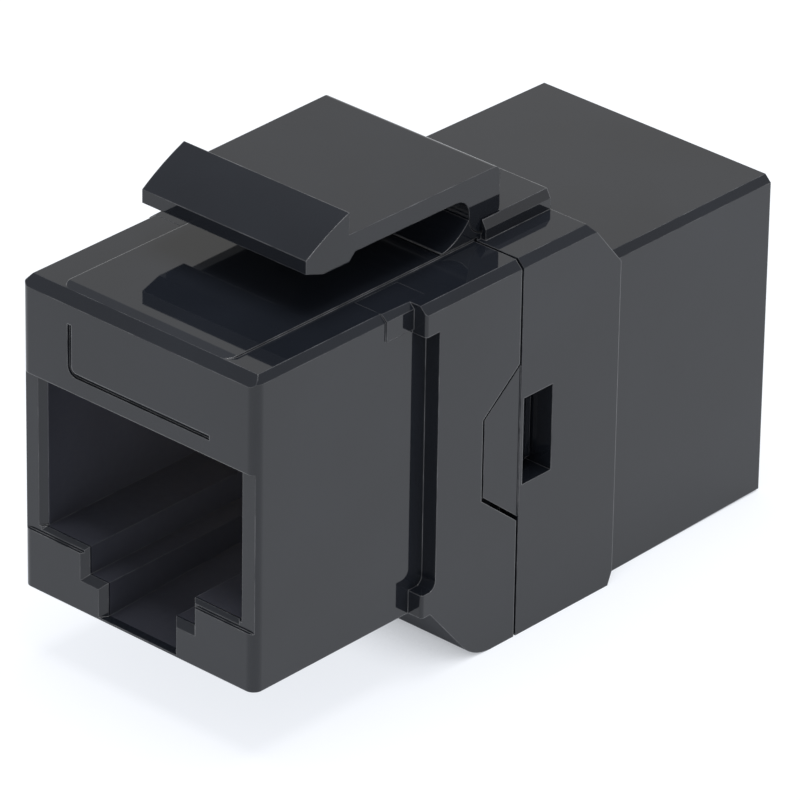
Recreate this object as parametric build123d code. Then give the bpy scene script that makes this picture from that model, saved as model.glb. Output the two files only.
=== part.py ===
"""In-line keystone coupler for network plugs, with a socket at each end.

Millimetres. The model is laid out with y running back from the front face and z
up from the plane that the coupler rests on; x is the width, zero in the middle.
Before it is written, every piece is shifted so that the origin is below the
middle of the coupler, on the resting plane.
"""
import os
from math import hypot, radians, tan

from build123d import *

# Overall sizes
LENGTH = 35.4                # front face to rear face
TOP = 19.7                   # height of the front body's top above the resting plane

# Front body, the part that goes through the panel
BODY_WIDTH = 14.7
BODY_HEIGHT = 16.1
BODY_CORNER = 0.5            # radius of the upright front edges
BODY_FRONT_BEVEL = 0.5       # bevel along the top of the front face
BODY_SIDE_BEVEL = 0.35       # bevel along the top of each side
PLATEAU_WIDTH = 10.5         # raised field on the top face
PLATEAU_RISE = 0.1
PLATEAU_START = 0.5          # from the front face
PLATEAU_CORNER = 0.6
PAD_LENGTH = 1.8             # faint pads at the body's rear top corners
PAD_RISE = 0.08
PAD_HEIGHT = 1.3             # down the side from the top
PAD_WIDTH = 1.9              # in from the side

# Flange behind the panel, split across into a front and a rear half
FLANGE_WIDTH = 16.4
SPLIT_SETBACK = 1.0          # the front half ends this far in front of the middle
SPLIT_GAP = 0.15
FRONT_HALF_LENGTH = 5.52     # front wall of the flange to the split
REAR_HALF_LENGTH = 6.81      # split to the flange's rear wall
LUG_REACH = 0.91             # how far the lugs stand forward of that wall
LOWER_LUG_TOP = 4.8
UPPER_LUG_HEIGHT = 1.5
LUG_ROOT_RADIUS = 0.45
FLANGE_BEVEL = 0.4
FLANGE_EDGE = 0.15           # small rounding of the flange's upright front edges

# Fixed hook below the front body
HOOK_LENGTH = 5.84           # its front edge to the split
HOOK_ANGLE = 49.5            # slope of its face, degrees below horizontal
HOOK_NOSE_RADIUS = 2.6

# Rear end of the flange
FLANGE_SLOPE_RUN = 2.1       # from the top's end to the rear wall
FLANGE_SLOPE_FALL = 2.54
FLANGE_HEEL_LENGTH = 0.3     # small bevel under the rear wall
FLANGE_HEEL_HEIGHT = 0.7

# Rear body
REAR_WIDTH = 14.9            # where it leaves the flange
REAR_HEIGHT = 17.1
REAR_DRAFT = 0.5             # degrees on every side
REAR_BEVEL = 0.35

# Socket, the same at both ends
PORT_WIDTH = 12.2
PORT_FLOOR = 6.95            # floor of the wide part, at the front end
PORT_HEIGHT = 7.5
STEP_WIDTH = 6.65            # room beside the plug's latch
STEP_DROP = 1.45
NOTCH_WIDTH = 4.3            # room for the latch itself
NOTCH_DROP = 1.2
PORT_LEAD = 0.33             # bevel of the mouth

# Face of the front body
FACE_RECESS = 0.15           # the jambs lie this far behind the face
FRAME_LEFT = 4.25            # fine engraved angle on the band
FRAME_RIGHT = 4.5
FRAME_RISE = 0.95            # above the band's lower edge
FRAME_SHORTFALL = 1.46       # below the top
FRAME_CORNER = 0.4
FRAME_LINE = 0.25
FRAME_DEPTH = 0.15

# Snap loops that hold the two halves together
LOOP_THICKNESS = 1.0
LOOP_REACH = 2.41            # from the rear half's front face to the tip
LOOP_ROOT_LOW = 6.35
LOOP_ROOT_HIGH = 14.3
LOOP_TIP_LOW = 8.3
LOOP_TIP_HIGH = 12.35
LOOP_GAP = 0.2
LOOP_INSET = 0.07            # its outer face behind the flange's side
WINDOW_SETBACK = 0.2         # behind the split
WINDOW_LENGTH = 2.0
WINDOW_LOW = 7.97
WINDOW_HIGH = 12.5
SNAP_ARM_THICKNESS = 0.75
SNAP_ARM_LENGTH = 2.25
SNAP_BARB = 0.7
SNAP_SIDE_GAP = 0.3
SNAP_SEAT_GAP = 0.14
SNAP_LEAD_END = 0.3          # plain end of the arm behind the barb

# Ledge that carries the latch
LEDGE_WIDTH = 11.2
LEDGE_HEIGHT = 1.0
LEDGE_SETBACK = 0.25         # behind the split
LEDGE_BEVEL_ACROSS = 0.25
LEDGE_BEVEL_DOWN = 0.45

# Latch arm
ARM_FRONT_WIDTH = 10.2
ARM_REAR_WIDTH = 10.6
PLATE_HEIGHT = 3.36          # its upper face above the top
PLATE_THICKNESS = 0.97
ROOT_RADIUS = 1.02           # half the thickness of the upright root
ROOT_INNER_RADIUS = 0.85
ROOT_OUTER_RADIUS = 0.4
ROOT_OVERHANG = 0.8          # the root's front stands forward of the ledge
ROOT_RISE = 0.35             # the hinge line above the ledge's top
FLARE_LENGTH = 1.9           # the fixed sweep in front of the root
FLARE_SAG = 0.2              # how hollow the sweep is
FLARE_LIP = 0.1              # its top below the hinge line
FLARE_GAP = 0.06             # above the front half's top
HINGE_CLEARANCE = 0.05
BAR_CROWN = 0.1              # how far the bar's slope bulges
PANEL_GAP = 1.89             # room for the panel between the thumb bar and the lugs
BAR_LENGTH = 2.78
BAR_RISE = 1.12              # above the plate
BAR_NOSE_TOP = 0.32          # its upper front edge, below the plate's top
BAR_NOSE_BOTTOM = 1.0
BAR_BELOW = 0.4              # how far it hangs under the plate
BAR_NOSE_ROUND = 1.1         # length of the slope under the nose

# Walls and bays inside
CEILING_WALL = 1.6           # above the carrier bay, front end
REAR_CEILING_WALL = 1.15
MOUTH_WALL = 3.0             # from the face back to the carrier bay
POCKET_SIDE_WALL = 1.2
POCKET_FLOOR = 1.1
POCKET_CEILING = 1.3
CORE_LENGTH = 2.6            # hollow behind the fixed hook, up to the split
RIB_WIDTH = 1.0
RIB_SPACING = 9.0
RIB_TOP = 3.4

# Circuit board, upright between the two sockets
BOARD_THICKNESS = 1.2
BOARD_SIDE_GAP = 0.25        # between the board and the snap arms
SEAT_GAP = 0.05
EDGE_GAP = 0.1

# Contact carriers
CARRIER_GAP = 0.1
CARRIER_BLOCK_HEIGHT = 3.0
CARRIER_NOSE_GAP = 1.5       # behind the mouth's wall
CARRIER_WALL = 1.85          # wall that closes the back of the socket
POST_LENGTH = 1.45           # holds the carrier off the board
CARRIER_NOSE_RADIUS = 0.8
CHEEK_WIDTH = 1.4
COMB_DEPTH = 2.0
COMB_DROP = 3.2              # how far it hangs into the socket
COMB_WIDTH = 9.2
GROOVE_WIDTH = 0.56
POST_INSET = 1.3             # from the board's side edges
POST_HEIGHT = 8.0
POST_RADIUS = 1.3
PEG_RADIUS = 0.75
PEG_HOLE_GAP = 0.1
PEG_REACH = 0.5              # how far the peg goes into the board

# Contact wires
CONTACT_COUNT = 8
CONTACT_PITCH = 1.02
CONTACT_THICKNESS = 0.36
CONTACT_WIDTH = 0.4
UPPER_RUN_DEPTH = 1.1        # the odd wires below the carrier's top
LOWER_RUN_DEPTH = 2.0        # the even wires below the carrier's top
BEND_REACH = 0.55            # each wire's centre line in front of the carrier's nose
BEND_DROP = 0.4              # lower end of the bend below the carrier's block
CONTACT_BEND_RADIUS = 0.7
TIP_GAP = 0.85               # free end to the wall behind the comb
TIP_RISE = 1.0               # free end above the comb's lower edge
PIN_PROTRUSION = 0.7
PIN_HOLE_RADIUS = 0.42
PIN_ROOM = 0.5               # free space round the pins behind the board

# Values that follow from the ones above
BODY_BOTTOM = TOP - BODY_HEIGHT
SPLIT_FRONT = LENGTH / 2 - SPLIT_SETBACK
SPLIT_REAR = SPLIT_FRONT + SPLIT_GAP
FLANGE_FRONT = SPLIT_FRONT - FRONT_HALF_LENGTH
FLANGE_REAR = SPLIT_REAR + REAR_HALF_LENGTH
FLANGE_TOP_REAR = FLANGE_REAR - FLANGE_SLOPE_RUN
FLANGE_SLOPE_FOOT = TOP - FLANGE_SLOPE_FALL
LUG_FRONT = FLANGE_FRONT - LUG_REACH
UPPER_LUG_BOTTOM = TOP - UPPER_LUG_HEIGHT
HOOK_FRONT = SPLIT_FRONT - HOOK_LENGTH
CORE_FRONT = SPLIT_FRONT - CORE_LENGTH
WINDOW_FRONT = SPLIT_REAR + WINDOW_SETBACK
WINDOW_REAR = WINDOW_FRONT + WINDOW_LENGTH
PORT_TOP = PORT_FLOOR + PORT_HEIGHT
STEP_FLOOR = PORT_FLOOR - STEP_DROP
NOTCH_FLOOR = STEP_FLOOR - NOTCH_DROP
BAND_BOTTOM = PORT_TOP + PORT_LEAD
FRAME_BOTTOM = BAND_BOTTOM + FRAME_RISE
FRAME_TOP = TOP - FRAME_SHORTFALL
BAY_TOP = TOP - CEILING_WALL
REAR_DROP = BAY_TOP - (REAR_HEIGHT - REAR_CEILING_WALL)
BOARD_FRONT = (LENGTH - BOARD_THICKNESS) / 2
BOARD_REAR = BOARD_FRONT + BOARD_THICKNESS
BOARD_SEAT = BOARD_REAR + SEAT_GAP
POCKET_WIDTH = FLANGE_WIDTH - 2 * POCKET_SIDE_WALL
POCKET_TOP = TOP - POCKET_CEILING
BOARD_WIDTH = POCKET_WIDTH - 2 * (SEAT_GAP + SNAP_ARM_THICKNESS + BOARD_SIDE_GAP)
BOARD_BOTTOM = POCKET_FLOOR + EDGE_GAP
BOARD_TOP = POCKET_TOP - EDGE_GAP
POST_SPACING = BOARD_WIDTH - 2 * POST_INSET
CARRIER_WIDTH = PORT_WIDTH - 2 * CARRIER_GAP
CARRIER_TOP = BAY_TOP - CARRIER_GAP
CARRIER_BOTTOM = NOTCH_FLOOR + CARRIER_GAP
CARRIER_NOSE = MOUTH_WALL + CARRIER_NOSE_GAP
CARRIER_REAR = BOARD_FRONT - SEAT_GAP - POST_LENGTH
CARRIER_WALL_FRONT = CARRIER_REAR - CARRIER_WALL
PORT_DEPTH = CARRIER_WALL_FRONT - SEAT_GAP
BLOCK_BOTTOM = CARRIER_TOP - CARRIER_BLOCK_HEIGHT
COMB_BOTTOM = PORT_TOP - COMB_DROP
UPPER_RUN = CARRIER_TOP - UPPER_RUN_DEPTH
LOWER_RUN = CARRIER_TOP - LOWER_RUN_DEPTH
CONTACT_BEND = CARRIER_NOSE - BEND_REACH
CONTACT_BEND_LOW = BLOCK_BOTTOM - BEND_DROP
CONTACT_TIP_Y = CARRIER_WALL_FRONT - TIP_GAP
CONTACT_TIP_Z = COMB_BOTTOM + TIP_RISE
LEDGE_TOP = TOP + LEDGE_HEIGHT
LEDGE_FRONT = SPLIT_REAR + LEDGE_SETBACK
ROOT_FRONT = LEDGE_FRONT - ROOT_OVERHANG
ROOT_Y = ROOT_FRONT + ROOT_RADIUS
ROOT_Z = LEDGE_TOP + ROOT_RISE
ROOT_REAR = ROOT_Y + ROOT_RADIUS
PLATE_TOP = TOP + PLATE_HEIGHT
PLATE_BOTTOM = PLATE_TOP - PLATE_THICKNESS
BAR_TOP = PLATE_TOP + BAR_RISE
BAR_BACK = LUG_FRONT - PANEL_GAP
BAR_NOSE = BAR_BACK - BAR_LENGTH
OVERSHOOT = 1.0              # how far cutting shapes run past a face


def block(width, y_low, y_high, z_low, z_high, x_mid=0.0):
    """A box centred on x_mid, between two distances back and two heights."""
    middle = (x_mid, (y_low + y_high) / 2, (z_low + z_high) / 2)
    return Pos(*middle) * Box(width, y_high - y_low, z_high - z_low)


def across(face, width, x_mid=0.0):
    """A side outline, given as (y, z), drawn out to a width along x."""
    solid = extrude(Plane.YZ * face, amount=width / 2, both=True)
    return Pos(x_mid, 0, 0) * solid


def outline(*points):
    """A flat shape with straight edges through the points."""
    return make_face(Polyline(*points, close=True))


def both_sides(solid):
    """The solid and its mirror image across the middle."""
    return solid + mirror(solid, about=Plane.YZ)


def contact_place(number):
    """Distance of a contact from the middle, counted from 1 at the -x side."""
    return (number - (CONTACT_COUNT + 1) / 2) * CONTACT_PITCH


def run_height(number):
    """Odd wires lie in the upper layer and even wires in the lower one."""
    return UPPER_RUN if number % 2 else LOWER_RUN


def turned_to_rear(solid):
    """The rear socket's parts are the front ones turned end for end and lowered."""
    return Pos(0, LENGTH, -REAR_DROP) * Rot(0, 0, 180) * solid


def socket_room():
    """The space for a plug: a wide mouth with a stepped notch for its latch."""
    start = -OVERSHOOT
    wide = block(PORT_WIDTH, start, PORT_DEPTH, PORT_FLOOR, PORT_TOP)
    step = block(STEP_WIDTH, start, PORT_DEPTH, STEP_FLOOR, PORT_TOP)
    notch = block(NOTCH_WIDTH, start, PORT_DEPTH, NOTCH_FLOOR, PORT_TOP)
    return wide + step + notch


def mouth_section(y_place, extra):
    """The socket's stepped outline at a distance back, grown by a margin."""
    half_wide = PORT_WIDTH / 2 + extra
    half_step = STEP_WIDTH / 2 + extra
    half_notch = NOTCH_WIDTH / 2 + extra
    right = [
        (half_notch, NOTCH_FLOOR - extra),
        (half_notch, STEP_FLOOR - extra),
        (half_step, STEP_FLOOR - extra),
        (half_step, PORT_FLOOR - extra),
        (half_wide, PORT_FLOOR - extra),
        (half_wide, PORT_TOP + extra),
    ]
    left = [(-x, z) for x, z in reversed(right)]
    return (Plane.XZ.offset(-y_place) * outline(*right, *left)).face()


def mouth_lead(face_y, z_low, z_high):
    """The bevel round the mouth at a face, between two heights."""
    flare = loft([mouth_section(face_y, PORT_LEAD), mouth_section(face_y + PORT_LEAD, 0)], ruled=True)
    return flare & block(BODY_WIDTH, face_y - 1, face_y + 1, z_low, z_high)


def carrier_bay(rear_end):
    """The space above and behind the socket that takes the contact carrier."""
    above = block(PORT_WIDTH, MOUTH_WALL, rear_end, PORT_TOP - OVERSHOOT, BAY_TOP)
    behind = block(PORT_WIDTH, PORT_DEPTH, rear_end, NOTCH_FLOOR, BAY_TOP)
    return above + behind


def front_body_block():
    """The plain front body, with its bevelled top and rounded front edges."""
    body = block(BODY_WIDTH, 0, SPLIT_FRONT, BODY_BOTTOM, TOP)
    front_edges = body.edges().filter_by(Axis.Z).group_by(Axis.Y)[0]
    body = fillet(front_edges, BODY_CORNER)
    side_edges = body.edges().filter_by(Axis.Y).group_by(Axis.Z)[-1]
    body = chamfer(side_edges, BODY_SIDE_BEVEL)
    slope = outline(
        (-OVERSHOOT, TOP + OVERSHOOT),
        (-OVERSHOOT, TOP - BODY_FRONT_BEVEL - OVERSHOOT),
        (BODY_FRONT_BEVEL + OVERSHOOT, TOP + OVERSHOOT),
    )
    return body - across(slope, BODY_WIDTH + 2)


def plateau():
    """The faintly raised field on the top, with a shallow slope at its front."""
    slope_end = PLATEAU_START + 5 * PLATEAU_RISE
    side = outline(
        (PLATEAU_START, TOP),
        (slope_end, TOP + PLATEAU_RISE),
        (SPLIT_FRONT, TOP + PLATEAU_RISE),
        (SPLIT_FRONT, TOP - OVERSHOOT),
        (PLATEAU_START, TOP - OVERSHOOT),
    )
    plan = Pos(0, PLATEAU_START + LENGTH / 2) * RectangleRounded(PLATEAU_WIDTH, LENGTH, PLATEAU_CORNER)
    return across(side, PLATEAU_WIDTH) & extrude(plan, amount=TOP + OVERSHOOT)


def corner_pad():
    """A faint pad that wraps the body's rear top corner on one side."""
    outer = BODY_WIDTH / 2 + PAD_RISE
    inner = BODY_WIDTH / 2 - PAD_WIDTH
    pad = block(
        outer - inner,
        LUG_FRONT - PAD_LENGTH,
        LUG_FRONT + OVERSHOOT,
        TOP - PAD_HEIGHT,
        TOP + PAD_RISE,
        x_mid=(outer + inner) / 2,
    )
    top_edge = pad.edges().filter_by(Axis.Y).group_by(Axis.Z)[-1].sort_by(Axis.X)[-1]
    return chamfer(top_edge, BODY_SIDE_BEVEL)


def front_flange():
    """The flange's front half: two pairs of lugs and the fixed hook underneath."""
    hook_run = BODY_BOTTOM / tan(radians(HOOK_ANGLE))
    side = outline(
        (LUG_FRONT, TOP),
        (LUG_FRONT, BODY_BOTTOM),
        (HOOK_FRONT, BODY_BOTTOM),
        (HOOK_FRONT + hook_run, 0),
        (SPLIT_FRONT, 0),
        (SPLIT_FRONT, TOP),
    )
    nose = side.vertices().sort_by(Axis.Y)[:2].sort_by(Axis.X)[0]
    side = fillet(nose, HOOK_NOSE_RADIUS)
    flange = across(side, FLANGE_WIDTH)
    top_edges = flange.edges().filter_by(Axis.Y).group_by(Axis.Z)[-1]
    flange = chamfer(top_edges, FLANGE_BEVEL)
    front_edges = flange.edges().filter_by(Axis.Z).group_by(Axis.Y)[0]
    flange = fillet(front_edges, FLANGE_EDGE)
    return flange - both_sides(lug_gap())


def lug_gap():
    """The cut between the upper and lower lug on one side."""
    depth = FLANGE_WIDTH - BODY_WIDTH
    gap = block(
        depth,
        LUG_FRONT - OVERSHOOT,
        FLANGE_FRONT,
        LOWER_LUG_TOP,
        UPPER_LUG_BOTTOM,
        x_mid=BODY_WIDTH / 2 + depth / 2,
    )
    corner = gap.edges().filter_by(Axis.X).group_by(Axis.Z)[0].sort_by(Axis.Y)[-1]
    return fillet(corner, LUG_ROOT_RADIUS)


def face_recess():
    """The jambs beside the socket lie a little behind the face."""
    return block(BODY_WIDTH + 2, -OVERSHOOT, FACE_RECESS, PORT_FLOOR - PORT_LEAD, BAND_BOTTOM)


def engraved_angle():
    """A fine line down and along the band, with a rounded corner."""
    line = FilletPolyline(
        (-FRAME_LEFT, FRAME_TOP),
        (-FRAME_LEFT, FRAME_BOTTOM),
        (FRAME_RIGHT, FRAME_BOTTOM),
        radius=FRAME_CORNER,
    )
    stroke = trace(line, FRAME_LINE)
    groove = extrude(Plane.XZ * stroke, amount=OVERSHOOT, both=True)
    return groove & block(BODY_WIDTH, -2 * OVERSHOOT, FRAME_DEPTH, BAND_BOTTOM, TOP)


def loop_outline():
    """Side outline of one snap loop, from the rear half forward."""
    return outline(
        (SPLIT_REAR + OVERSHOOT, LOOP_ROOT_HIGH),
        (SPLIT_REAR, LOOP_ROOT_HIGH),
        (SPLIT_REAR - LOOP_REACH, LOOP_TIP_HIGH),
        (SPLIT_REAR - LOOP_REACH, LOOP_TIP_LOW),
        (SPLIT_REAR, LOOP_ROOT_LOW),
        (SPLIT_REAR + OVERSHOOT, LOOP_ROOT_LOW),
    )


def loop_recess():
    """Room for the snap loop in the side of the flange's front half."""
    shape = offset(loop_outline(), LOOP_GAP, kind=Kind.INTERSECTION)
    depth = LOOP_INSET + LOOP_THICKNESS + LOOP_GAP / 2 + OVERSHOOT
    middle = FLANGE_WIDTH / 2 + OVERSHOOT - depth / 2
    return across(shape, depth, x_mid=middle)


def snap_arm():
    """One barbed arm of the front half, behind the rear half's window."""
    outer = POCKET_WIDTH / 2 - SEAT_GAP
    inner = outer - SNAP_ARM_THICKNESS
    barb_front = WINDOW_FRONT + SNAP_SEAT_GAP
    arm_end = SPLIT_FRONT + SNAP_ARM_LENGTH
    plan = outline(
        (inner, CORE_FRONT),
        (outer, CORE_FRONT),
        (outer, barb_front),
        (outer + SNAP_BARB, barb_front),
        (outer, arm_end - SNAP_LEAD_END),
        (outer, arm_end),
        (inner, arm_end),
    )
    low = WINDOW_LOW + SNAP_SIDE_GAP
    high = WINDOW_HIGH - SNAP_SIDE_GAP
    return Pos(0, 0, low) * extrude(plan, amount=high - low)


def board_rib(x_mid):
    """A rib in the hollow behind the hook that holds the board on its seat."""
    return block(
        RIB_WIDTH, CORE_FRONT - OVERSHOOT, BOARD_FRONT - SEAT_GAP, POCKET_FLOOR + EDGE_GAP, RIB_TOP, x_mid
    )


def front_housing():
    """The front half: body, flange, hook, socket and snap arms in one moulding."""
    housing = front_body_block() + plateau() + both_sides(corner_pad()) + front_flange()
    housing -= face_recess()
    housing -= engraved_angle()
    housing -= socket_room()
    housing -= mouth_lead(0, 0, PORT_FLOOR)
    housing -= mouth_lead(FACE_RECESS, PORT_FLOOR, TOP)
    housing -= carrier_bay(SPLIT_FRONT + OVERSHOOT)
    housing -= block(PORT_WIDTH, CORE_FRONT, SPLIT_FRONT + OVERSHOOT, POCKET_FLOOR, NOTCH_FLOOR + OVERSHOOT)
    housing -= both_sides(loop_recess())
    housing += both_sides(snap_arm())
    housing += both_sides(board_rib(RIB_SPACING / 2))
    return housing


def rear_flange():
    """The flange's rear half, with the slope that falls to the rear body."""
    side = outline(
        (SPLIT_REAR, 0),
        (SPLIT_REAR, TOP),
        (FLANGE_TOP_REAR, TOP),
        (FLANGE_REAR, FLANGE_SLOPE_FOOT),
        (FLANGE_REAR, FLANGE_HEEL_HEIGHT),
        (FLANGE_REAR - FLANGE_HEEL_LENGTH, 0),
    )
    flange = across(side, FLANGE_WIDTH)
    top_edges = flange.edges().filter_by(Axis.Y).group_by(Axis.Z)[-1]
    return chamfer(top_edges, FLANGE_BEVEL)


def rear_body():
    """The rear body, with the same draft on all four sides."""
    start = Plane.XZ.offset(-FLANGE_REAR) * Pos(0, REAR_HEIGHT / 2) * Rectangle(REAR_WIDTH, REAR_HEIGHT)
    body = extrude(start, amount=-(LENGTH - FLANGE_REAR), taper=REAR_DRAFT)
    long_edges = body.edges().filter_by(lambda edge: abs(edge.tangent_at(0.5).Y) > 0.9)
    body = chamfer(long_edges.group_by(Axis.Z)[-1], REAR_BEVEL)
    root = block(
        REAR_WIDTH - 2 * REAR_BEVEL, FLANGE_REAR - OVERSHOOT, FLANGE_REAR + OVERSHOOT, OVERSHOOT, REAR_HEIGHT - 1
    )
    return body + root


def latch_ledge():
    """The low ledge on the flange that the latch arm springs from."""
    ledge = block(LEDGE_WIDTH, LEDGE_FRONT, FLANGE_TOP_REAR, TOP - OVERSHOOT, LEDGE_TOP)
    bevel = outline(
        (LEDGE_WIDTH / 2 - LEDGE_BEVEL_ACROSS, LEDGE_TOP),
        (LEDGE_WIDTH / 2, LEDGE_TOP - LEDGE_BEVEL_DOWN),
        (LEDGE_WIDTH / 2 + OVERSHOOT, LEDGE_TOP - LEDGE_BEVEL_DOWN),
        (LEDGE_WIDTH / 2 + OVERSHOOT, LEDGE_TOP + OVERSHOOT),
        (LEDGE_WIDTH / 2 - LEDGE_BEVEL_ACROSS, LEDGE_TOP + OVERSHOOT),
    )
    shaving = Pos(0, LENGTH, 0) * extrude(Plane.XZ * bevel, amount=LENGTH)
    ledge -= both_sides(shaving)
    return ledge


def root_flare():
    """The tongue over the split that sweeps up from the front half's top to the latch's root."""
    low = TOP + PLATEAU_RISE + FLARE_GAP
    tip = (ROOT_FRONT - FLARE_LENGTH, low)
    lip = (ROOT_FRONT - HINGE_CLEARANCE, ROOT_Z - FLARE_LIP)
    run = lip[0] - tip[0]
    rise = lip[1] - tip[1]
    span = hypot(run, rise)
    hollow = (tip[0] + run / 2 + FLARE_SAG * rise / span, tip[1] + rise / 2 - FLARE_SAG * run / span)
    rest = Polyline(
        lip,
        (ROOT_Y, lip[1]),
        (ROOT_Y, TOP - OVERSHOOT),
        (SPLIT_REAR, TOP - OVERSHOOT),
        (SPLIT_REAR, low),
        tip,
    )
    return across(make_face([ThreePointArc(tip, hollow, lip), *rest.edges()]), ARM_REAR_WIDTH)


def cradle():
    """The hollow that the latch's rounded foot lies in, between two thin rims of the ledge."""
    width = ARM_REAR_WIDTH + 2 * HINGE_CLEARANCE
    return Pos(0, ROOT_Y, ROOT_Z) * Rot(0, 90, 0) * Cylinder(ROOT_RADIUS + HINGE_CLEARANCE, width)


def snap_loop():
    """One loop of the rear half, lying in the side of the front half."""
    middle = FLANGE_WIDTH / 2 - LOOP_INSET - LOOP_THICKNESS / 2
    return across(loop_outline(), LOOP_THICKNESS, x_mid=middle)


def window():
    """The hole in one side wall that the barb catches in."""
    return block(
        2 * LOOP_THICKNESS + OVERSHOOT, WINDOW_FRONT, WINDOW_REAR, WINDOW_LOW, WINDOW_HIGH, x_mid=FLANGE_WIDTH / 2
    )


def board_pocket():
    """Room for the board, with relief behind it for the pins and the snap arms."""
    front = SPLIT_REAR - OVERSHOOT
    pocket = block(POCKET_WIDTH, front, BOARD_SEAT, POCKET_FLOOR, POCKET_TOP)
    pin_end = BOARD_REAR + PIN_PROTRUSION + PIN_ROOM
    pins = block(COMB_WIDTH, front, pin_end, LOWER_RUN - PIN_ROOM, UPPER_RUN + PIN_ROOM)
    arms = block(POCKET_WIDTH, front, WINDOW_REAR, WINDOW_LOW, WINDOW_HIGH)
    return pocket + pins + arms


def rear_housing():
    """The rear half: flange, ledge, loops, rear body and socket in one moulding."""
    housing = rear_flange() + rear_body() + latch_ledge() + root_flare() + both_sides(snap_loop())
    housing -= board_pocket()
    housing -= turned_to_rear(socket_room())
    housing -= turned_to_rear(mouth_lead(0, 0, TOP))
    housing -= turned_to_rear(carrier_bay(LENGTH - BOARD_SEAT + OVERSHOOT))
    housing -= both_sides(window())
    return housing - cradle()


def latch_arm():
    """The latch: thumb bar, plate and upright root with a rounded foot."""
    nose_top = (BAR_NOSE, PLATE_TOP - BAR_NOSE_TOP)
    crest = (BAR_BACK, BAR_TOP)
    crown = ((BAR_NOSE + BAR_BACK) / 2, (nose_top[1] + BAR_TOP) / 2 + BAR_CROWN)
    rest = Polyline(
        crest,
        (BAR_BACK, PLATE_TOP),
        (ROOT_REAR, PLATE_TOP),
        (ROOT_REAR, ROOT_Z),
        (ROOT_FRONT, ROOT_Z),
        (ROOT_FRONT, PLATE_BOTTOM),
        (BAR_BACK + BAR_BELOW, PLATE_BOTTOM),
        (BAR_BACK, PLATE_BOTTOM - BAR_BELOW),
        (BAR_NOSE + BAR_NOSE_ROUND, PLATE_BOTTOM - BAR_BELOW),
        (BAR_NOSE, PLATE_TOP - BAR_NOSE_BOTTOM),
        nose_top,
    )
    side = make_face([ThreePointArc(nose_top, crown, crest), *rest.edges()])
    corner_in = side.vertices().sort_by_distance((ROOT_FRONT, PLATE_BOTTOM))[0]
    side = fillet(corner_in, ROOT_INNER_RADIUS)
    corner_out = side.vertices().sort_by_distance((ROOT_REAR, PLATE_TOP))[0]
    side = fillet(corner_out, ROOT_OUTER_RADIUS)
    foot = Pos(ROOT_Y, ROOT_Z) * Circle(ROOT_RADIUS)
    arm = across(side + foot, 2 * ARM_REAR_WIDTH)
    plan = outline(
        (-ARM_FRONT_WIDTH / 2, BAR_NOSE),
        (ARM_FRONT_WIDTH / 2, BAR_NOSE),
        (ARM_REAR_WIDTH / 2, ROOT_REAR),
        (-ARM_REAR_WIDTH / 2, ROOT_REAR),
    )
    return arm & extrude(plan, amount=2 * BAR_TOP)


def circuit_board():
    """The upright board, drilled for both rows of pins and for the pegs."""
    board = block(BOARD_WIDTH, BOARD_FRONT, BOARD_REAR, BOARD_BOTTOM, BOARD_TOP)
    for number in range(1, CONTACT_COUNT + 1):
        drill = board_drill(contact_place(number), run_height(number), PIN_HOLE_RADIUS)
        board -= drill
        board -= turned_to_rear(drill)
    for side in (-1, 1):
        drill = board_drill(side * POST_SPACING / 2, POST_HEIGHT, PEG_RADIUS + PEG_HOLE_GAP)
        board -= drill
        board -= turned_to_rear(drill)
    return board


def board_drill(x_place, height, radius):
    """A drill through the board, along the coupler."""
    return Pos(x_place, LENGTH / 2, height) * Rot(90, 0, 0) * Cylinder(radius, 2 * BOARD_THICKNESS)


def contact_carrier():
    """The insert that holds one row of contacts above and behind the socket."""
    carrier = block(CARRIER_WIDTH, CARRIER_NOSE, CARRIER_REAR, BLOCK_BOTTOM, CARRIER_TOP)
    nose_edges = carrier.edges().filter_by(Axis.X).group_by(Axis.Y)[0]
    carrier = fillet(nose_edges, CARRIER_NOSE_RADIUS)
    carrier += block(CARRIER_WIDTH, CARRIER_WALL_FRONT, CARRIER_REAR, CARRIER_BOTTOM, CARRIER_TOP)
    comb_front = CARRIER_WALL_FRONT - COMB_DEPTH
    carrier += block(COMB_WIDTH, comb_front, CARRIER_WALL_FRONT, COMB_BOTTOM, BLOCK_BOTTOM + OVERSHOOT)
    cheek_middle = (CARRIER_WIDTH - CHEEK_WIDTH) / 2
    cheek_front = MOUTH_WALL + SEAT_GAP
    carrier += both_sides(
        block(CHEEK_WIDTH, cheek_front, CARRIER_REAR, BLOCK_BOTTOM, CARRIER_TOP, x_mid=cheek_middle)
    )
    for number in range(1, CONTACT_COUNT + 1):
        carrier -= wire_groove(number)
    return carrier + both_sides(carrier_post())


def wire_groove(number):
    """The groove over the carrier's block and the comb slot behind the socket."""
    place = contact_place(number)
    floor = run_height(number) - CONTACT_THICKNESS / 2 - SEAT_GAP
    slot_end = CARRIER_REAR - CARRIER_WALL / 2
    top_groove = block(GROOVE_WIDTH, 0, CARRIER_REAR + OVERSHOOT, floor, TOP, place)
    comb_slot = block(GROOVE_WIDTH, 0, slot_end, COMB_BOTTOM - OVERSHOOT, BLOCK_BOTTOM, place)
    return top_groove + comb_slot


def carrier_post():
    """A post that stands on the board, with a peg into the board's hole."""
    start = CARRIER_REAR - CARRIER_WALL / 2
    post = rod(POST_RADIUS, start, CARRIER_REAR + POST_LENGTH)
    peg = rod(PEG_RADIUS, start, BOARD_FRONT + PEG_REACH)
    return Pos(POST_SPACING / 2, 0, POST_HEIGHT) * (post + peg)


def rod(radius, y_low, y_high):
    """A round bar along y."""
    return Pos(0, (y_low + y_high) / 2, 0) * Rot(90, 0, 0) * Cylinder(radius, y_high - y_low)


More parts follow.
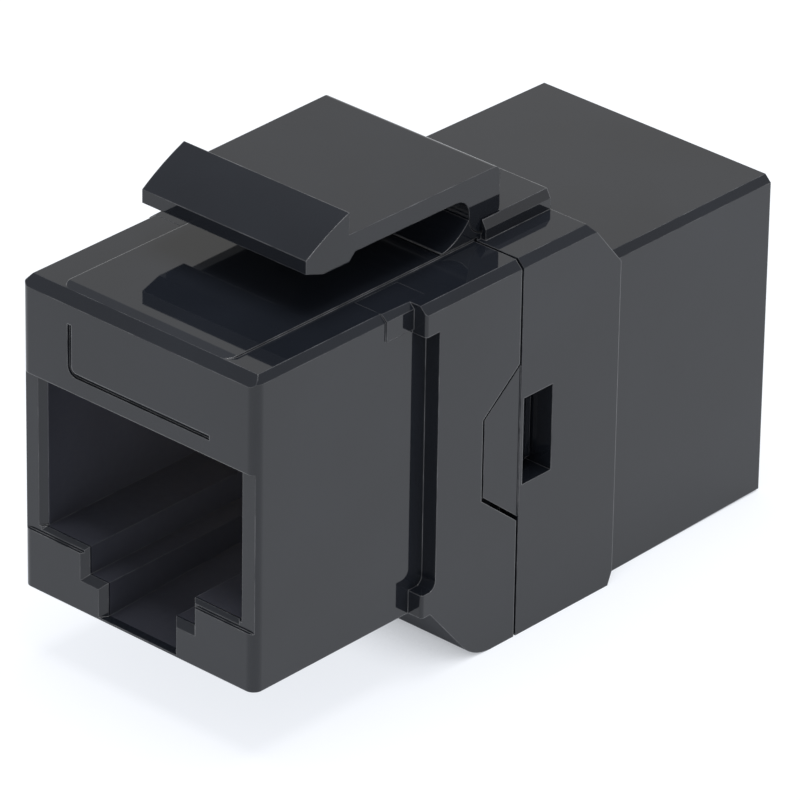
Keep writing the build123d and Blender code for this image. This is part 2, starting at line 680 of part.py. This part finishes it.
def contact(number):
    """One spring wire: pin, run over the block, front bend and sloping free arm."""
    height = run_height(number)
    line = FilletPolyline(
        (BOARD_REAR + PIN_PROTRUSION, height),
        (CONTACT_BEND, height),
        (CONTACT_BEND, CONTACT_BEND_LOW),
        (CONTACT_TIP_Y, CONTACT_TIP_Z),
        radius=CONTACT_BEND_RADIUS,
    )
    return across(trace(line, CONTACT_THICKNESS), CONTACT_WIDTH, contact_place(number))


def build_all():
    """Every piece under the name of its node."""
    pieces = {
        "front_housing": front_housing(),
        "rear_housing": rear_housing(),
        "latch_arm": latch_arm(),
        "circuit_board": circuit_board(),
        "front_contact_carrier": contact_carrier(),
        "rear_contact_carrier": turned_to_rear(contact_carrier()),
    }
    for number in range(1, CONTACT_COUNT + 1):
        pieces[f"front_contact_{number}"] = contact(number)
        pieces[f"rear_contact_{number}"] = turned_to_rear(contact(number))
    return pieces


os.makedirs("parts", exist_ok=True)
to_middle = Pos(0, -LENGTH / 2, 0)
for name, piece in build_all().items():
    export_step(to_middle * piece, f"parts/{name}.step")
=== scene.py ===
"""Looks of the keystone coupler: materials, light, floor and camera.

Metres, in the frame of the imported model: z up from the resting plane, y running
back from the front socket, x across.
"""

from math import cos, radians, sin

import bpy
from mathutils import Matrix, Vector


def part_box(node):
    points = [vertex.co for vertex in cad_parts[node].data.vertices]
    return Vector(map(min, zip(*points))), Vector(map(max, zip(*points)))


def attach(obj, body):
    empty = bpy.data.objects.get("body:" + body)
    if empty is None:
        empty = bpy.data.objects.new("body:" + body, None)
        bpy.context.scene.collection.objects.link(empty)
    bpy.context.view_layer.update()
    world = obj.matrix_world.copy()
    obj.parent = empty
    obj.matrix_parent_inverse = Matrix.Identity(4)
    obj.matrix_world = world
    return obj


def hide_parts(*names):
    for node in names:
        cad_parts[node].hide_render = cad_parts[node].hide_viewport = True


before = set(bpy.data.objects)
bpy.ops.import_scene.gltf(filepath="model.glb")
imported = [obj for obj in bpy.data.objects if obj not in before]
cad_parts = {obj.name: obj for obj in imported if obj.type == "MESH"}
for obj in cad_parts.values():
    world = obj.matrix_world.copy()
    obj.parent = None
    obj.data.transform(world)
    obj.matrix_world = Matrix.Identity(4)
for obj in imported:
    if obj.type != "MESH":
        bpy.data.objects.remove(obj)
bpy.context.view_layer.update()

MM = 0.001

# Camera, solved from the photograph's straight edges
CAMERA_PLACE = Vector((216.55, -239.67, 184.02)) * MM
CAMERA_AZIMUTH = radians(42.107)
CAMERA_ELEVATION = radians(28.44)
CAMERA_ROLL = radians(-0.929)
CAMERA_NEAR = 0.01
SENSOR = 36.0
FOCAL_PIXELS = 7847.4
FRAME_PIXELS = 800.0

# Studio light: height of the direction, from -1 to 1, and colour
SKY = (
    (0.06, (1.0, 1.0, 1.0)),
    (0.38, (0.70, 0.69, 0.67)),
    (0.50, (0.62, 0.62, 0.61)),
    (0.58, (0.45, 0.46, 0.48)),
    (0.70, (0.47, 0.48, 0.50)),
)
TOP_LIGHT_SIZE = 0.3
TOP_LIGHT_HEIGHT = 0.5
TOP_LIGHT_POWER = 1.6

# Floor: what it gives to the object, and what the eye and reflections see of it
FLOOR_SIZE = 3.0
FLOOR_BOUNCE = (0.8, 0.8, 0.8)
FLOOR_ROUGHNESS = 0.9
FLOOR_GLOW = (0.775, 0.80, 0.845)
FLOOR_SHADE = (0.27, 0.27, 0.27)
# the glow's fade near the object is a painted contact shadow
SHADE_REACH = 4.0 * MM       # the glow fades this near to the object
SHADE_TURN = (-0.3, 0.5)     # openness of the floor at which the glow is none and full
SHADE_SAMPLES = 8

# Colours
PLASTIC = (0.0120, 0.0142, 0.0195)
# painted light: the socket walls near the mouth, paler than the moulding's own colour
INSIDE_PAINTED_LIGHT = (0.045, 0.048, 0.064)
# the carriers' own colour, also painted on the deepest socket walls as light
INSERT_AND_PAINTED_DEEP_LIGHT = (0.15, 0.155, 0.19)
# edge wear, lighter than wear alone: also a painted highlight along sharp edges
EDGE_SCUFF_AND_HIGHLIGHT = (0.165, 0.168, 0.18)
BOARD = ((0.006, 0.055, 0.02), (0.014, 0.10, 0.035))
GOLD = ((0.84, 0.56, 0.20), (0.95, 0.69, 0.30))
PLASTIC_SHADES = (0.9, 1.1)
INSIDE_SHADES = (0.92, 1.08)
INSERT_SHADES = (0.85, 1.0)

# Roughness, as one value or a range
POLISHED = (0.028, 0.0455)
AS_MOULDED = (0.45, 0.575)
UNDERSIDE = 0.85
SATIN = 0.42
RESIST = 0.3
PLATED = (0.36, 0.5)

GOLD_METALLIC = 0.85
GLOSS_INDEX = 1.47
LATCH_INDEX = 1.43

# Noise patterns: scale and detail
PLASTIC_TONE = (160.0, 3.0)
PLASTIC_GLOSS = (700.0, 5.0)
PLASTIC_RIPPLE = (260.0, 2.0)
WALL_TONE = (300.0, 3.0)
WALL_GRAIN = (2500.0, 4.0)
WEAR_AND_HIGHLIGHT_PATTERN = (900.0, 5.0)
INSERT_GRAIN = (1200.0, 4.0)
GOLD_WEAR = (700.0, 4.0)
TRACK_SCALE = 480.0
TRACK_DISTORTION = 3.0
TONE_TURN = (0.35, 0.65)     # part of a pattern in which its colour turns
RANGE_TURN = (0.3, 0.7)      # part of a pattern that is drawn out to a range

# Relief: strength and depth, then the radius of the rounding of sharp edges
MOULDING_RELIEF = (0.06, 0.02 * MM, 0.06 * MM)
INSERT_RELIEF = (0.25, 0.01 * MM, 0.05 * MM)
BOARD_RELIEF = (0.3, 0.03 * MM, 0.05 * MM)
RELIEF_SAMPLES = 6

# Wear along sharp edges, lightened further as a painted highlight
WEAR_AND_HIGHLIGHT_RADIUS = 0.07 * MM
WEAR_AND_HIGHLIGHT_TURN = (0.995, 0.94)    # agreement of the normals at which wear is none and full
WEAR_AND_HIGHLIGHT_RANGE = (0.1, 1.0)
WEAR_AND_HIGHLIGHT_SAMPLES = 8

# Inside of the sockets, from the mouth's bevel inwards, where the walls are unpolished and painted
# paler as light
MOUTH_EDGE = 0.4 * MM
CARRIER_ROOM = 0.13 * MM     # walls beside the contact carrier
# depths at which the socket walls' painted light turns from the near tone to the deep one
PAINTED_LIGHT_DEPTH_TURN = (17.0 * MM, 6.0 * MM)
ROOM_EDGE = 0.02 * MM
HOOK_MARGIN = 1.0 * MM       # below the fixed hook

# Latch notch of the front mouth, which runs down to a thin lip at the bottom edge
BODY_BOTTOM = 3.6 * MM
NOTCH_FLOOR = 4.3 * MM
NOTCH_REACH = 2.6 * MM
LIP_HEIGHT = 0.1 * MM
LIP_SLOPE = 0.15

# Pads at the corners of the front body's top, almost flush with it
PLATEAU_RISE = 0.1 * MM
PLATEAU_REACH = 5.3 * MM
PAD_RISE = 0.01 * MM

# Mix node: data type, numbers of the two inputs and of the output
NUMBER_MIX = ("FLOAT", 2, 3, 0)
COLOUR_MIX = ("RGBA", 6, 7, 2)


def material(name):
    """A new node material, its nodes and its principled shader."""
    made = bpy.data.materials.new(name)
    made.use_nodes = True
    return made, made.node_tree, made.node_tree.nodes["Principled BSDF"]


def feed(node, key, value):
    """Gives one input of a node a fixed value, or links it to another node's output."""
    if isinstance(value, bpy.types.NodeSocket):
        node.id_data.links.new(value, node.inputs[key])
    else:
        node.inputs[key].default_value = value


def add_node(tree, kind, inputs=None, **settings):
    """A new shader node, with its properties and inputs set."""
    node = tree.nodes.new("ShaderNode" + kind)
    for key, value in settings.items():
        setattr(node, key, value)
    for key, value in (inputs or {}).items():
        feed(node, key, value)
    return node


def maths(tree, operation, *values):
    """The result of a calculation with numbers."""
    return add_node(tree, "Math", dict(enumerate(values)), operation=operation).outputs["Value"]


def vector_maths(tree, operation, result, *values):
    """The result of a calculation with vectors."""
    node = add_node(tree, "VectorMath", dict(enumerate(values)), operation=operation)
    return node.outputs[result]


def turned(tree, value, turn, low=0.0, high=1.0):
    """A number that goes from low to high while the value goes through the turn."""
    start, end = turn
    inputs = {"Value": value, "From Min": start, "From Max": end, "To Min": low, "To Max": high}
    return add_node(tree, "MapRange", inputs).outputs["Result"]


def mixed(tree, kind, mask, first, second):
    """A number or colour that turns from the first into the second where the mask is one."""
    data_type, first_input, second_input, output = kind
    inputs = {0: mask, first_input: first, second_input: second}
    return add_node(tree, "Mix", inputs, data_type=data_type).outputs[output]


def own_place(tree):
    """The place on the piece, in metres."""
    return add_node(tree, "TexCoord").outputs["Object"]


def noise(tree, scale, detail):
    """Noise that stays with the surface."""
    inputs = {"Vector": own_place(tree), "Scale": scale, "Detail": detail}
    return add_node(tree, "TexNoise", inputs).outputs["Fac"]


def colour_ramp(tree, value, stops):
    """A colour that follows a value, by stops of place and colour."""
    ramp = add_node(tree, "ValToRGB", {"Fac": value})
    elements = ramp.color_ramp.elements
    while len(elements) < len(stops):
        elements.new(1.0)
    for element, (place, colour) in zip(elements, stops):
        element.position = place
        element.color = (*colour, 1)
    return ramp.outputs["Color"]


def colour_drift(tree, pattern, tones):
    """A colour that drifts between two close tones."""
    return colour_ramp(tree, pattern, tuple(zip(TONE_TURN, tones)))


def shades(colour, factors):
    """A darker and a lighter tone of one colour."""
    return [tuple(channel * factor for channel in colour) for factor in factors]


def add_relief(tree, shader, pattern, strength, depth, edge):
    """Fine relief on top of a small rounding of every sharp edge."""
    rounded = add_node(tree, "Bevel", {"Radius": edge}, samples=RELIEF_SAMPLES).outputs["Normal"]
    inputs = {"Strength": strength, "Distance": depth, "Height": pattern, "Normal": rounded}
    feed(shader, "Normal", add_node(tree, "Bump", inputs).outputs["Normal"])


def edge_wear_and_highlight(tree):
    """Up to one along sharp edges, in an uneven line, and zero on plain faces: the mask of edge
    wear and of a painted highlight.
    """
    rounded = add_node(tree, "Bevel", {"Radius": WEAR_AND_HIGHLIGHT_RADIUS}, samples=WEAR_AND_HIGHLIGHT_SAMPLES)
    surface = add_node(tree, "NewGeometry")
    normals = rounded.outputs["Normal"], surface.outputs["Normal"]
    agreement = vector_maths(tree, "DOT_PRODUCT", "Value", *normals)
    uneven = turned(tree, noise(tree, *WEAR_AND_HIGHLIGHT_PATTERN), RANGE_TURN, *WEAR_AND_HIGHLIGHT_RANGE)
    return maths(tree, "MULTIPLY", turned(tree, agreement, WEAR_AND_HIGHLIGHT_TURN), uneven)


def inside_mask(tree, low, high):
    """One inside a box of the part's frame and zero outside it."""
    from_middle = vector_maths(tree, "SUBTRACT", "Vector", own_place(tree), (low + high) / 2)
    reach = vector_maths(tree, "ABSOLUTE", "Vector", from_middle)
    room = vector_maths(tree, "SUBTRACT", "Vector", (high - low) / 2, reach)
    x_room, y_room, z_room = add_node(tree, "SeparateXYZ", {"Vector": room}).outputs
    across = maths(tree, "MINIMUM", x_room, y_room)
    return turned(tree, maths(tree, "MINIMUM", across, z_room), (0.0, ROOM_EDGE))


def socket_walls_painted_light(tree):
    """Colour of a socket's walls: painted light, paler than the moulding near the mouth and paler
    still deep inside, where little light comes.
    """
    along = add_node(tree, "SeparateXYZ", {"Vector": own_place(tree)}).outputs["Y"]
    # painted light: one deep inside the socket, zero near the mouth
    depth = turned(tree, maths(tree, "ABSOLUTE", along), PAINTED_LIGHT_DEPTH_TURN)
    near = colour_drift(tree, noise(tree, *WALL_TONE), shades(INSIDE_PAINTED_LIGHT, INSIDE_SHADES))
    return mixed(tree, COLOUR_MIX, depth, near, (*INSERT_AND_PAINTED_DEEP_LIGHT, 1))


def polished_black(name, room=None, hook=None, index=GLOSS_INDEX):
    """Polished black moulding, worn and painted with a highlight along its edges, unpolished in
    its socket and hook, with painted light on its socket walls.
    """
    made, tree, shader = material(name)
    colour = colour_drift(tree, noise(tree, *PLASTIC_TONE), shades(PLASTIC, PLASTIC_SHADES))
    finish = turned(tree, noise(tree, *PLASTIC_GLOSS), RANGE_TURN, *POLISHED)
    if room:
        inside = inside_mask(tree, *room)
        unpolished = turned(tree, noise(tree, *WALL_GRAIN), RANGE_TURN, *AS_MOULDED)
        # painted light: the socket walls paler than the moulding
        colour = mixed(tree, COLOUR_MIX, inside, colour, socket_walls_painted_light(tree))
        finish = mixed(tree, NUMBER_MIX, inside, finish, unpolished)
    if hook:
        finish = mixed(tree, NUMBER_MIX, inside_mask(tree, *hook), finish, UNDERSIDE)
    # sharp edges painted lighter: partly wear, partly a painted highlight
    scuffed_and_highlit = mixed(tree, COLOUR_MIX, edge_wear_and_highlight(tree), colour, (*EDGE_SCUFF_AND_HIGHLIGHT, 1))
    feed(shader, "Base Color", scuffed_and_highlit)
    feed(shader, "Roughness", finish)
    feed(shader, "IOR", index)
    add_relief(tree, shader, noise(tree, *PLASTIC_RIPPLE), *MOULDING_RELIEF)
    return made


def satin_black():
    """The contact carriers: satin black moulding."""
    made, tree, shader = material("satin_black")
    grain = noise(tree, *INSERT_GRAIN)
    feed(shader, "Base Color", colour_drift(tree, grain, shades(INSERT_AND_PAINTED_DEEP_LIGHT, INSERT_SHADES)))
    feed(shader, "Roughness", SATIN)
    add_relief(tree, shader, grain, *INSERT_RELIEF)
    return made


def board_laminate():
    """The board: green resist over faint copper tracks."""
    made, tree, shader = material("board_laminate")
    inputs = {"Vector": own_place(tree), "Scale": TRACK_SCALE, "Distortion": TRACK_DISTORTION}
    tracks = add_node(tree, "TexWave", inputs, bands_direction="X").outputs["Fac"]
    feed(shader, "Base Color", colour_drift(tree, tracks, BOARD))
    feed(shader, "Roughness", RESIST)
    add_relief(tree, shader, tracks, *BOARD_RELIEF)
    return made


def plated_gold():
    """The contact wires: gold plating over spring bronze."""
    made, tree, shader = material("plated_gold")
    wear = noise(tree, *GOLD_WEAR)
    feed(shader, "Base Color", colour_drift(tree, wear, GOLD))
    feed(shader, "Roughness", turned(tree, wear, RANGE_TURN, *PLATED))
    feed(shader, "Metallic", GOLD_METALLIC)
    return made


def pale_floor():
    """A plain light table, white to the eye and in reflections, that keeps shadows; near the
    object its glow fades by ambient occlusion, a painted contact shadow.
    """
    made, tree, shader = material("pale_floor")
    feed(shader, "Base Color", (*FLOOR_BOUNCE, 1))
    feed(shader, "Roughness", FLOOR_ROUGHNESS)
    # painted shadow: the glow is darkened where the object hides the floor
    openness = add_node(tree, "AmbientOcclusion", {"Distance": SHADE_REACH}, samples=SHADE_SAMPLES)
    strength = turned(tree, openness.outputs["AO"], SHADE_TURN)
    glow = add_node(tree, "Emission", {"Color": (*FLOOR_GLOW, 1), "Strength": strength})
    shade = add_node(tree, "BsdfDiffuse", {"Color": (*FLOOR_SHADE, 1)})
    table = add_node(tree, "AddShader", {0: glow.outputs["Emission"], 1: shade.outputs["BSDF"]})
    rays = add_node(tree, "LightPath").outputs
    seen = maths(tree, "MAXIMUM", rays["Is Camera Ray"], rays["Is Glossy Ray"])
    shown = maths(tree, "MAXIMUM", seen, rays["Is Transmission Ray"])
    surfaces = {"Fac": shown, 1: shader.outputs["BSDF"], 2: table.outputs["Shader"]}
    mix = add_node(tree, "MixShader", surfaces)
    feed(tree.nodes["Material Output"], "Surface", mix.outputs["Shader"])
    return made


def front_shell(node):
    """The front housing with its notch let down to a thin lip and its top pads almost flush."""
    piece = bpy.data.objects.new("front_shell", node.data.copy())
    bpy.context.scene.collection.objects.link(piece)
    low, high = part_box("front_housing")
    face = low.y
    pad_top = high.z - PLATEAU_RISE + PAD_RISE
    lip = BODY_BOTTOM + LIP_HEIGHT
    for vertex in piece.data.vertices:
        place = vertex.co
        at_mouth = place.y < face + MOUTH_EDGE and abs(place.x) < NOTCH_REACH
        if at_mouth and lip < place.z < NOTCH_FLOOR + LIP_HEIGHT:
            place.z = lip + (place.y - face) * LIP_SLOPE
        if abs(place.x) > PLATEAU_REACH and place.z > pad_top:
            place.z = pad_top
    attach(piece, "coupler")
    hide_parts("front_housing")
    return piece


def unpolished_and_painted_light_rooms():
    """The boxes round the inside of the front socket, of the rear one, and round the hook."""
    margin = Vector((CARRIER_ROOM, 0.0, CARRIER_ROOM))
    low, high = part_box("front_housing")
    front_low, front_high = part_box("front_contact_carrier")
    front_low.y = low.y + MOUTH_EDGE
    front_low.z = BODY_BOTTOM + CARRIER_ROOM
    rear_low, rear_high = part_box("rear_contact_carrier")
    rear_high.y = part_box("rear_housing")[1].y - MOUTH_EDGE
    hook = (low - Vector((0.0, 0.0, HOOK_MARGIN)), Vector((high.x, high.y, BODY_BOTTOM)))
    return (front_low - margin, front_high + margin), (rear_low - margin, rear_high + margin), hook


def dress(node, made):
    """Gives one piece its finish."""
    mesh = node.data
    if not mesh.materials:
        mesh.materials.append(made)
    for index in range(len(mesh.materials)):
        mesh.materials[index] = made


def dress_all(nodes):
    """Gives every piece the finish of its kind."""
    front_room, rear_room, hook = unpolished_and_painted_light_rooms()
    black = {
        "front_housing": polished_black("front_black", front_room, hook),
        "rear_housing": polished_black("rear_black", rear_room),
        "latch_arm": polished_black("latch_black", index=LATCH_INDEX),
    }
    satin, green, gold = satin_black(), board_laminate(), plated_gold()
    for name, node in nodes.items():
        if "carrier" in name:
            dress(node, satin)
        elif "contact" in name:
            dress(node, gold)
        elif name == "circuit_board":
            dress(node, green)
        else:
            dress(node, black[name])
    dress(front_shell(nodes["front_housing"]), black["front_housing"])


def floor():
    """A plain floor at the resting plane."""
    bpy.ops.mesh.primitive_plane_add(size=FLOOR_SIZE)
    plane = bpy.context.object
    plane.name = "floor"
    plane.data.materials.append(pale_floor())


def sky():
    """Even studio light all round, brighter towards the horizon."""
    world = bpy.data.worlds.new("studio")
    bpy.context.scene.world = world
    world.use_nodes = True
    tree = world.node_tree
    direction = add_node(tree, "TexCoord").outputs["Generated"]
    height = add_node(tree, "SeparateXYZ", {"Vector": direction}).outputs["Z"]
    feed(tree.nodes["Background"], "Color", colour_ramp(tree, height, SKY))
    feed(tree.nodes["Background"], "Strength", 1.0)


def top_light():
    """A wide soft light straight above, which lifts the floor to white."""
    light = bpy.data.lights.new("top_light", "AREA")
    light.size = TOP_LIGHT_SIZE
    light.energy = TOP_LIGHT_POWER
    lamp = bpy.data.objects.new("top_light", light)
    lamp.location = (0, 0, TOP_LIGHT_HEIGHT)
    bpy.context.scene.collection.objects.link(lamp)


def camera():
    """The photograph's camera."""
    forward = Vector((
        -sin(CAMERA_AZIMUTH) * cos(CAMERA_ELEVATION),
        cos(CAMERA_AZIMUTH) * cos(CAMERA_ELEVATION),
        -sin(CAMERA_ELEVATION),
    ))
    level_right = forward.cross(Vector((0, 0, 1))).normalized()
    level_up = level_right.cross(forward)
    up = level_up * cos(CAMERA_ROLL) + level_right * sin(CAMERA_ROLL)
    right = level_right * cos(CAMERA_ROLL) - level_up * sin(CAMERA_ROLL)
    turn = Matrix((right, up, -forward)).transposed()
    data = bpy.data.cameras.new("camera")
    data.sensor_width = SENSOR
    data.lens = FOCAL_PIXELS / FRAME_PIXELS * SENSOR
    data.clip_start = CAMERA_NEAR
    eye = bpy.data.objects.new("camera", data)
    eye.matrix_world = Matrix.Translation(CAMERA_PLACE) @ turn.to_4x4()
    bpy.context.scene.collection.objects.link(eye)
    bpy.context.scene.camera = eye


dress_all(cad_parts)
floor()
sky()
top_light()
camera()
bpy.context.scene.view_settings.view_transform = "Standard"
